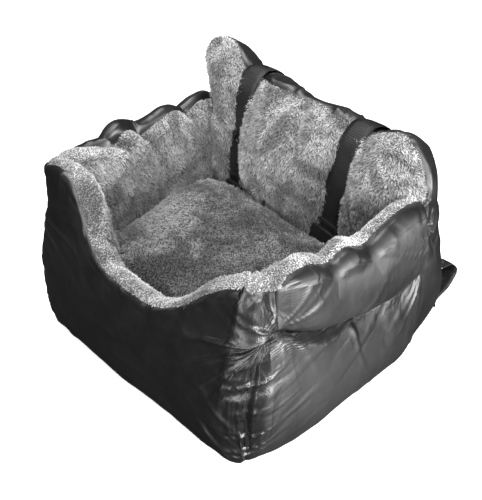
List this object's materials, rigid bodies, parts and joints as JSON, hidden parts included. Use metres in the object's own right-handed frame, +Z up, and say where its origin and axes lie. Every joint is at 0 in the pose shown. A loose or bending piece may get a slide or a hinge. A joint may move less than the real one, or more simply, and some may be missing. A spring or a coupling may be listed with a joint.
{
  "type": "dog car seat",
  "caption": "Booster seat for a small dog: stuffed nylon walls lined with plush, low entrance, padded back, lift-out cushion, webbing straps with buckles, side pockets.",
  "frame": {"origin": "centre of the bounding box's base, on the underside of the grip sheet", "axes": "+Z up, +Y to the padded back, -Y to the low entrance, +X to the seat's right as seen from its front"},
  "size_m": [0.502, 0.464, 0.3705],
  "materials": {
    "nylon": "woven, soft sheen",
    "plush": "short pile",
    "cushion_plush": "short pile",
    "filling": "matt",
    "webbing": "ribbed weave",
    "plastic": "moulded, satin",
    "grip": "coarse, matt"
  },
  "bodies": {
    "seat": {"back_filling": "filling", "back_nylon_panel": "nylon", "back_plush_lining": "plush", "base_grip_sheet": "grip", "booster_block": "filling", "front_filling": "filling", "front_nylon_panel": "nylon", "front_plush_lining": "plush", "left_anchor_tab": "webbing", "left_belt_loop": "webbing", "left_buckle_tongue": "plastic", "left_filling": "filling", "left_nylon_panel": "nylon", "left_plush_lining": "plush", "left_pocket_elastic": "nylon", "left_pocket_panel": "nylon", "left_strap": "webbing", "right_anchor_tab": "webbing", "right_belt_loop": "webbing", "right_buckle_tongue": "plastic", "right_filling": "filling", "right_nylon_panel": "nylon", "right_plush_lining": "plush", "right_pocket_elastic": "nylon", "right_pocket_panel": "nylon", "right_strap": "webbing", "well_floor_cloth": "nylon"},
    "cushion": {"cushion_cover": "cushion_plush", "cushion_filling": "filling", "cushion_underside": "nylon"},
    "left_adjuster": {"left_slide_adjuster": "plastic"},
    "right_adjuster": {"right_slide_adjuster": "plastic"},
    "left_housing": {"left_buckle_housing": "plastic"},
    "right_housing": {"right_buckle_housing": "plastic"}
  },
  "joints": [
    {"name": "cushion_lift", "type": "slide", "parent": "seat", "child": "cushion", "axis": [0, 0, 1], "range_m": [0, 0.295]},
    {"name": "left_adjuster_slide", "type": "slide", "parent": "seat", "child": "left_adjuster", "axis": [0.0896, 0, 0.996], "range_m": [0, 0.035]},
    {"name": "right_adjuster_slide", "type": "slide", "parent": "seat", "child": "right_adjuster", "axis": [0.1961, 0, 0.9806], "range_m": [0, 0.035]},
    {"name": "left_buckle_release", "type": "slide", "parent": "seat", "child": "left_housing", "axis": [-0.0896, 0, -0.996], "range_m": [0, 0.02]},
    {"name": "right_buckle_release", "type": "slide", "parent": "seat", "child": "right_housing", "axis": [-0.1961, 0, -0.9806], "range_m": [0, 0.02]}
  ]
}
